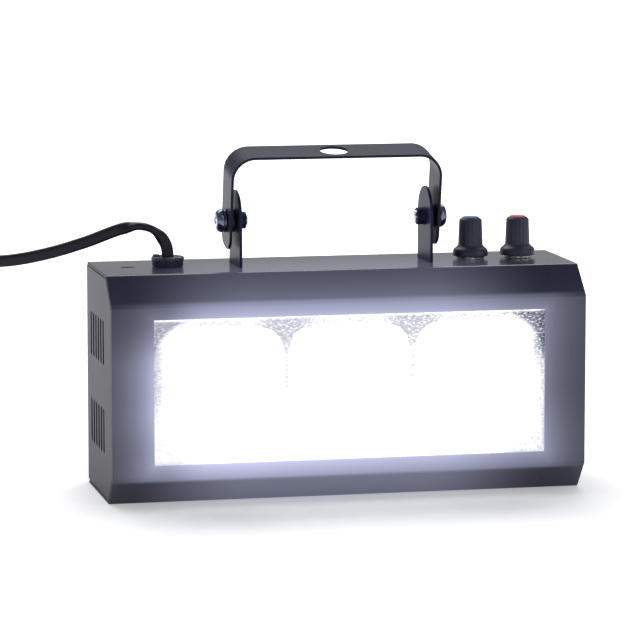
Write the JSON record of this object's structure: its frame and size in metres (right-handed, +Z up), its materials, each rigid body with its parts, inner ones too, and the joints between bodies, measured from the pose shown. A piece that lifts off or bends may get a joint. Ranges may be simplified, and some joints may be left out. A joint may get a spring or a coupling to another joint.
{
  "type": "LED strobe light with tilting yoke",
  "caption": "Compact stage strobe: folded steel housing with a clear window over mirrored LED cups, a tilting hanging yoke, rotary controls and a mains cord with plug.",
  "frame": {"origin": "on the underside of the housing, in the middle of its width and depth", "axes": "+Z up, -Y out through the window towards the audience, +X along the housing towards the controls"},
  "size_m": [0.4216, 0.0812, 0.1435],
  "materials": {
    "housing_paint": "satin to gloss baked paint, near black with a blue tint",
    "yoke_paint": "gloss baked paint, black",
    "fastener_steel": "bright zinc plate",
    "pivot_steel": "black zinc plate, glossy",
    "spacer_plastic": "moulded",
    "window_clear": "polished clear sheet",
    "reflector_foil": "hammered mirror sheet",
    "plate_metal": "mill finish",
    "led_lens": "white ceramic with a clear dome, lit",
    "board_green": "solder mask",
    "transformer_core": "ferrite with a taped winding",
    "capacitor_sleeve": "shrunk sleeve",
    "terminal_plastic": "moulded",
    "support_nylon": "natural nylon",
    "knob_plastic": "satin moulded, fluted",
    "cap_blue": "moulded",
    "cap_red": "moulded",
    "shaft_metal": "turned",
    "pot_metal": "pressed, plated",
    "relief_plastic": "satin moulded",
    "cord_sheath": "satin sheath, flat two-core",
    "plug_plastic": "moulded",
    "pin_metal": "bright nickel plate",
    "lead_black": "sleeved wires",
    "lead_red": "sleeved wires",
    "lead_blue": "sleeved wires"
  },
  "bodies": {
    "housing": {"front_shell": "housing_paint", "rear_cover": "housing_paint", "cover_screw_1": "fastener_steel", "cover_screw_2": "fastener_steel", "cover_screw_3": "fastener_steel", "cover_screw_4": "fastener_steel", "window_pane": "window_clear", "reflector_tray": "reflector_foil", "led_plate": "plate_metal", "led_left": "led_lens", "led_centre": "led_lens", "led_right": "led_lens", "plate_post_1": "fastener_steel", "plate_post_2": "fastener_steel", "plate_post_3": "fastener_steel", "plate_post_4": "fastener_steel", "plate_nut_1": "fastener_steel", "plate_nut_2": "fastener_steel", "plate_nut_3": "fastener_steel", "plate_nut_4": "fastener_steel", "driver_board": "board_green", "driver_transformer": "transformer_core", "driver_capacitor": "capacitor_sleeve", "driver_terminal": "terminal_plastic", "board_support_1": "support_nylon", "board_support_2": "support_nylon", "board_support_3": "support_nylon", "board_support_4": "support_nylon", "bracket_left": "yoke_paint", "bracket_right": "yoke_paint", "pivot_screw_left": "pivot_steel", "pivot_screw_right": "pivot_steel", "pivot_washer_left": "pivot_steel", "pivot_washer_right": "pivot_steel", "pivot_spacer_left": "spacer_plastic", "pivot_spacer_right": "spacer_plastic", "speed_pot": "pot_metal", "speed_nut": "fastener_steel", "speed_washer": "fastener_steel", "level_pot": "pot_metal", "level_nut": "fastener_steel", "level_washer": "fastener_steel", "control_board": "board_green", "strain_relief": "relief_plastic", "supply_cord": "cord_sheath", "supply_cord_coil": "cord_sheath", "supply_cord_tail": "cord_sheath", "plug_body": "plug_plastic", "plug_pin_1": "pin_metal", "plug_pin_2": "pin_metal", "supply_lead": "lead_black", "led_lead": "lead_red", "control_lead": "lead_blue"},
    "yoke_arm": {"yoke": "yoke_paint"},
    "speed_dial": {"speed_knob": "knob_plastic", "speed_cap": "cap_blue", "speed_shaft": "shaft_metal"},
    "level_dial": {"level_knob": "knob_plastic", "level_cap": "cap_red", "level_shaft": "shaft_metal"}
  },
  "joints": [
    {"name": "yoke_tilt", "type": "hinge", "parent": "housing", "child": "yoke_arm", "pos_m": [0, 0.00675, 0.1129], "axis": [1, 0, 0], "range_deg": [-115.5, 94.5]},
    {"name": "speed_turn", "type": "hinge", "parent": "housing", "child": "speed_dial", "pos_m": [0.0605, 0.00675, 0.1041], "axis": [0, 0, 1], "range_deg": [-60, 240]},
    {"name": "level_turn", "type": "hinge", "parent": "housing", "child": "level_dial", "pos_m": [0.0811, 0.00675, 0.1041], "axis": [0, 0, 1], "range_deg": [-240, 60]}
  ]
}
